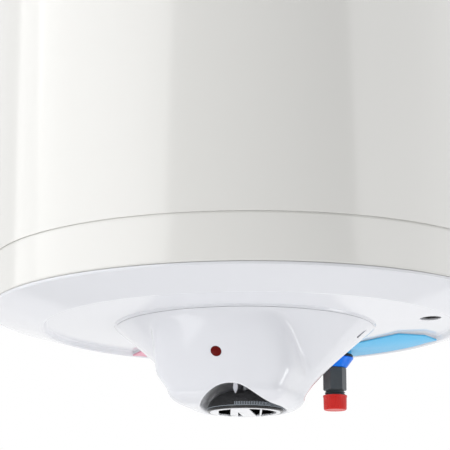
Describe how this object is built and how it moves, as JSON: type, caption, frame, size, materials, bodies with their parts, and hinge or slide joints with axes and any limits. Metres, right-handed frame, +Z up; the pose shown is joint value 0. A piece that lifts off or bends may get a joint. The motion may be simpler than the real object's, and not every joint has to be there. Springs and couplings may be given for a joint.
{
  "type": "electric storage water heater",
  "caption": "Wall-hung round electric storage water heater with a control hood, dial and lamp underneath, and side by side cold and hot water connections.",
  "frame": {"origin": "centre of the wall bracket's rear face, on the wall's plane", "axes": "+Z up along the tank, +Y into the wall, so the control hood's nose and lamp face -Y, and +X is right as seen from the room"},
  "size_m": [0.5, 0.514, 0.8117],
  "materials": {
    "cream_enamel": "gloss",
    "cool_white_plastic": "gloss",
    "black_plastic": "satin",
    "dark_grey_plastic": "matte",
    "black_rubber": "matte",
    "blue_plastic": "gloss",
    "red_plastic": "satin",
    "pale_blue_plastic": "satin",
    "pale_red_plastic": "satin",
    "red_lens": "gloss",
    "blue_enamel": "gloss",
    "pale_foam": "matte",
    "zinc_steel": "satin",
    "black_coated_steel": "satin",
    "copper": "satin",
    "magnesium": "matte",
    "brown_insulation": "satin",
    "blue_insulation": "satin",
    "green_insulation": "satin",
    "white_polyamide": "satin"
  },
  "bodies": {
    "heater_body": {"jacket": "cream_enamel", "top_cap": "cream_enamel", "lower_pan": "cream_enamel", "foam_insulation": "pale_foam", "tank_shell": "blue_enamel", "tank_top_dome": "blue_enamel", "tank_bottom_dome": "blue_enamel", "flange_gasket": "black_rubber", "flange_plate": "zinc_steel", "flange_nut_1": "zinc_steel", "flange_nut_2": "zinc_steel", "flange_nut_3": "zinc_steel", "flange_nut_4": "zinc_steel", "flange_nut_5": "zinc_steel", "heating_element": "copper", "thermowell": "copper", "magnesium_anode": "magnesium", "anode_nut": "zinc_steel", "thermostat_body": "dark_grey_plastic", "bottom_cover": "cool_white_plastic", "cover_screw_left": "zinc_steel", "cover_screw_right": "zinc_steel", "cable_grommet": "black_rubber", "hood": "cool_white_plastic", "led_lens": "red_lens", "indicator_lamp": "dark_grey_plastic", "cold_side_plate": "pale_blue_plastic", "cold_washer": "black_rubber", "cold_rosette": "blue_plastic", "cold_nipple": "black_coated_steel", "hot_side_plate": "pale_red_plastic", "hot_washer": "black_rubber", "hot_rosette": "red_plastic", "hot_nipple": "black_coated_steel", "cold_inlet_pipe": "zinc_steel", "cold_diffuser": "white_polyamide", "hot_outlet_pipe": "zinc_steel", "wall_bracket": "zinc_steel", "lower_wall_spacer": "black_plastic", "terminal_block": "white_polyamide", "wire_live": "brown_insulation", "wire_neutral": "blue_insulation", "wire_earth": "green_insulation"},
    "dial": {"dial": "black_plastic", "dial_grip": "cool_white_plastic", "thermostat_spindle": "zinc_steel"},
    "reset_button": {"reset_button": "red_plastic"},
    "cold_cap": {"cold_cap": "red_plastic"},
    "hot_cap": {"hot_cap": "red_plastic"}
  },
  "joints": [
    {"name": "dial_turn", "type": "hinge", "parent": "heater_body", "child": "dial", "pos_m": [0, -0.2795, -0.62], "axis": [0, 0, -1], "range_deg": [0, 270]},
    {"name": "reset_press", "type": "slide", "parent": "heater_body", "child": "reset_button", "axis": [0, 0, 1], "range_m": [0, 0.0025], "stiffness_N_per_m": 600, "springref_m": -0.001},
    {"name": "cold_cap_pull", "type": "slide", "parent": "heater_body", "child": "cold_cap", "axis": [0, 0, -1], "range_m": [0, 0.018]},
    {"name": "hot_cap_pull", "type": "slide", "parent": "heater_body", "child": "hot_cap", "axis": [0, 0, -1], "range_m": [0, 0.018]}
  ]
}
